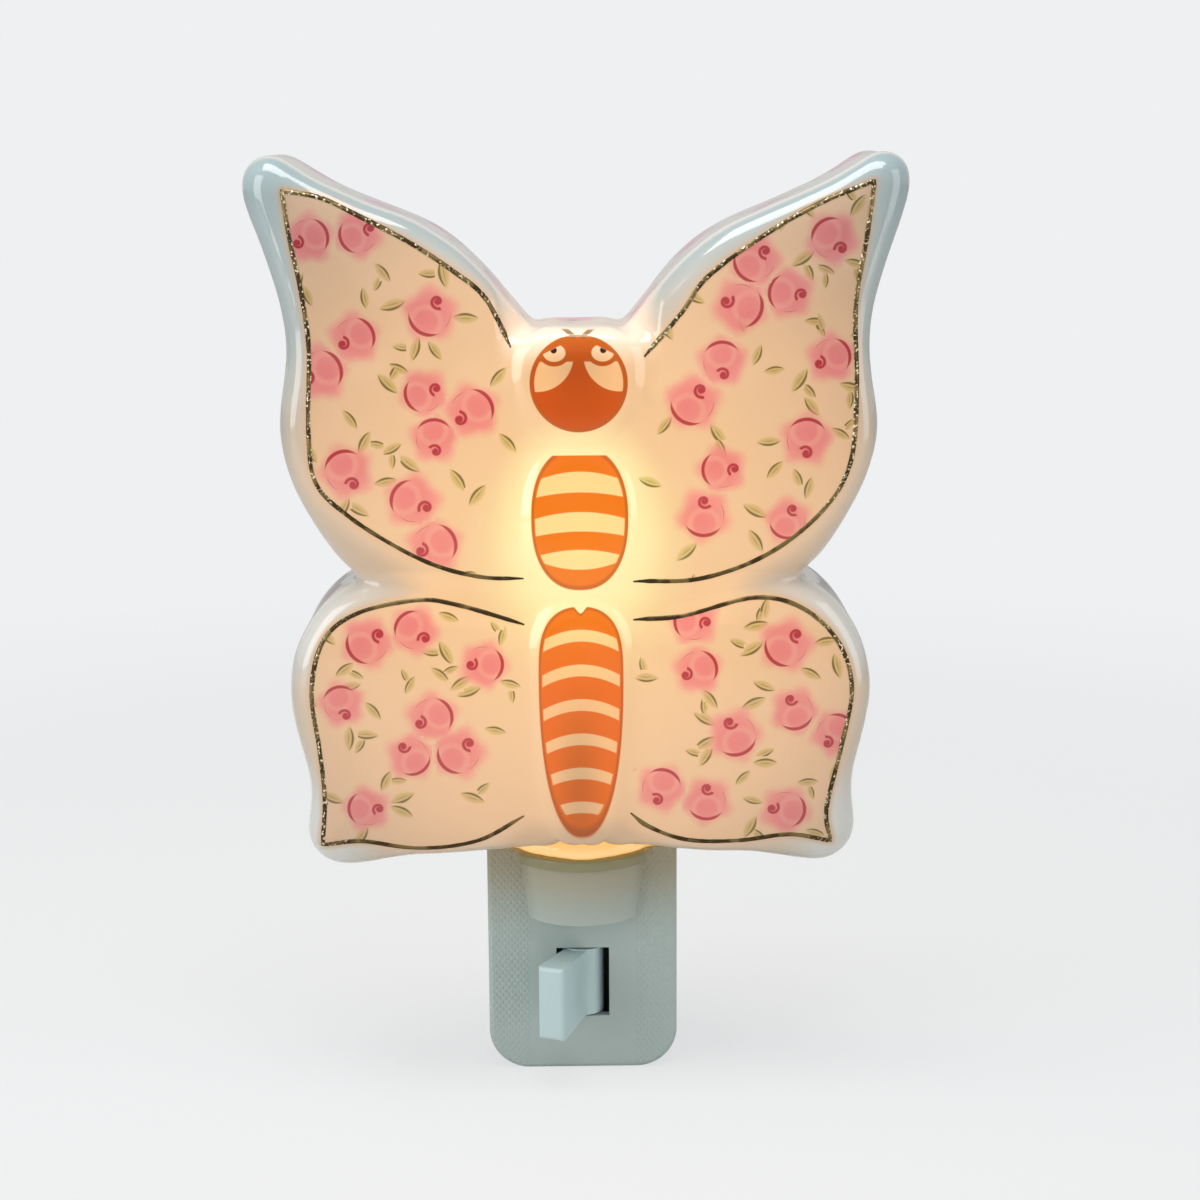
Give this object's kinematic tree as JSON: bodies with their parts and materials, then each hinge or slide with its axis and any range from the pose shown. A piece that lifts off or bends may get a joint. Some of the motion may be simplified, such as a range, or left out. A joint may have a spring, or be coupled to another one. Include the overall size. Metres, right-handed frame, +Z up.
{
  "type": "night light",
  "caption": "Plug-in night light: hollow porcelain butterfly shade lit from inside by a small screw lamp, on a plastic plug base with a sideways rocker switch.",
  "frame": {"origin": "midway between the plug blades, on the wall face of the base", "axes": "+Z up, +Y into the wall along the blades, -Y into the room, +X to the right seen from the room"},
  "size_m": [0.1136, 0.0557, 0.1685],
  "materials": {
    "porcelain": "glossy white glaze with fired-on print and gilt lines",
    "housing": "moulded white plastic, fine texture on the front sides",
    "holder": "moulded white plastic",
    "washer": "soft translucent silicone",
    "brass": "stamped sheet",
    "contact": "silver button or solder",
    "steel": "plated",
    "insulation": "wire insulation",
    "insulator": "moulded insulator",
    "lamp_glass": "clear glass",
    "lamp_metal": "drawn wire",
    "filament": "glowing coil"
  },
  "bodies": {
    "base": {"front_cover": "housing", "rear_cover": "housing", "cover_screws": "steel", "live_blade": "brass", "neutral_blade": "brass", "live_strip": "brass", "fixed_contact": "contact", "switch_terminal": "brass", "rocker_pin": "steel", "switched_wire": "insulation", "neutral_wire": "insulation", "holder_tube": "holder", "contact_disc": "insulator", "socket_shell": "brass", "centre_contact": "brass", "shade_washer": "washer", "shade_ring": "holder", "porcelain_shade": "porcelain"},
    "rocker": {"switch_rocker": "housing"},
    "leaf": {"switch_leaf": "brass", "moving_contact": "contact"},
    "lamp_foot": {"bulb_tip": "contact"},
    "lamp": {"bulb_insulator": "insulator", "bulb_cap": "brass", "bulb_glass": "lamp_glass", "bulb_stem": "lamp_glass", "bulb_leads": "lamp_metal", "bulb_filament": "filament"}
  },
  "joints": [
    {"name": "rocker_swing", "type": "hinge", "parent": "base", "child": "rocker", "pos_m": [0, -0.0205, -0.007], "axis": [0, 0, 1], "range_deg": [0, 44]},
    {"name": "leaf_flex", "type": "hinge", "parent": "base", "child": "leaf", "pos_m": [-0.00136, -0.0136, 0.0075], "axis": [0, 1, 0], "range_deg": [0, 13]},
    {"name": "bulb_lift", "type": "slide", "parent": "base", "child": "lamp_foot", "axis": [0, 0, 1], "range_m": [0, 0.01016]},
    {"name": "bulb_turn", "type": "hinge", "parent": "lamp_foot", "child": "lamp", "pos_m": [0, -0.018, 0.05], "axis": [0, 0, 1], "range_deg": [0, 1440]}
  ],
  "couplings": [
    {"joint": "leaf_flex", "follows": "rocker_swing", "ratio": 0.29545},
    {"joint": "bulb_lift", "follows": "bulb_turn", "m_per_rad": 0.00040425}
  ]
}
